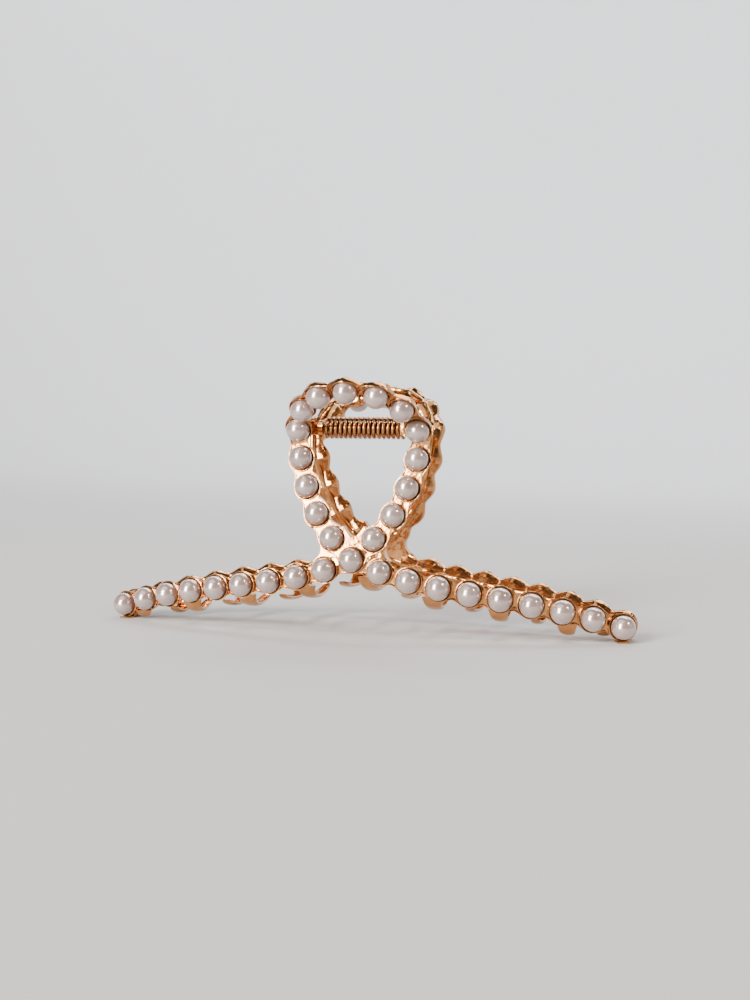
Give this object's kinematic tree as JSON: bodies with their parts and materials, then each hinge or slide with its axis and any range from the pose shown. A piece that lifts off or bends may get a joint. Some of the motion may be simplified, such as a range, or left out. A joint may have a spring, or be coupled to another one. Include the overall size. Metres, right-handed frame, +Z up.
{
  "type": "claw clip",
  "caption": "Claw hair clip of two crossed-ribbon jaws set with pearl beads, hinged on one pin inside a raised loop handle and closed by a torsion spring.",
  "frame": {"origin": "centre of the bounding box's bottom, on the table between the closed arms", "axes": "+Z up, X along the arms, -Y towards the front jaw"},
  "size_m": [0.1154, 0.0372, 0.0534],
  "materials": {
    "rose_gold": "polished rose-gold plating on a zinc casting",
    "copper_wire": "copper-plated spring wire",
    "pearl": "glossy imitation pearl, off-white with a pink tint"
  },
  "bodies": {
    "front_half": {"front_jaw": "rose_gold", "front_pearl_crossing": "pearl", "front_pearl_left_arm_1": "pearl", "front_pearl_left_arm_2": "pearl", "front_pearl_left_arm_3": "pearl", "front_pearl_left_arm_4": "pearl", "front_pearl_left_arm_5": "pearl", "front_pearl_left_arm_6": "pearl", "front_pearl_left_arm_7": "pearl", "front_pearl_left_arm_8": "pearl", "front_pearl_left_arm_9": "pearl", "front_pearl_left_loop_1": "pearl", "front_pearl_left_loop_5": "pearl", "front_pearl_left_loop_6": "pearl", "front_pearl_left_loop_7": "pearl", "front_pearl_loop_top": "pearl", "front_pearl_right_arm_1": "pearl", "front_pearl_right_arm_2": "pearl", "front_pearl_right_arm_3": "pearl", "front_pearl_right_arm_4": "pearl", "front_pearl_right_arm_5": "pearl", "front_pearl_right_arm_6": "pearl", "front_pearl_right_arm_7": "pearl", "front_pearl_right_arm_8": "pearl", "front_pearl_right_arm_9": "pearl", "front_pearl_right_loop_1": "pearl", "front_pearl_right_loop_5": "pearl", "front_pearl_right_loop_6": "pearl", "front_pearl_right_loop_7": "pearl", "hinge_pin": "rose_gold", "torsion_spring": "copper_wire"},
    "back_half": {"back_jaw": "rose_gold", "back_pearl_crossing": "pearl", "back_pearl_left_arm_1": "pearl", "back_pearl_left_arm_2": "pearl", "back_pearl_left_arm_3": "pearl", "back_pearl_left_arm_4": "pearl", "back_pearl_left_arm_5": "pearl", "back_pearl_left_arm_6": "pearl", "back_pearl_left_arm_7": "pearl", "back_pearl_left_arm_8": "pearl", "back_pearl_left_arm_9": "pearl", "back_pearl_left_loop_1": "pearl", "back_pearl_left_loop_5": "pearl", "back_pearl_left_loop_6": "pearl", "back_pearl_left_loop_7": "pearl", "back_pearl_loop_top": "pearl", "back_pearl_right_arm_1": "pearl", "back_pearl_right_arm_2": "pearl", "back_pearl_right_arm_3": "pearl", "back_pearl_right_arm_4": "pearl", "back_pearl_right_arm_5": "pearl", "back_pearl_right_arm_6": "pearl", "back_pearl_right_arm_7": "pearl", "back_pearl_right_arm_8": "pearl", "back_pearl_right_arm_9": "pearl", "back_pearl_right_loop_1": "pearl", "back_pearl_right_loop_5": "pearl", "back_pearl_right_loop_6": "pearl", "back_pearl_right_loop_7": "pearl"}
  },
  "joints": [
    {"name": "jaw_hinge", "type": "hinge", "parent": "front_half", "child": "back_half", "pos_m": [0, 0, 0.043], "axis": [1, 0, 0], "range_deg": [0, 60], "stiffness_Nm_per_rad": 0.026, "springref_deg": -68.75, "deforming": ["torsion_spring"]}
  ]
}
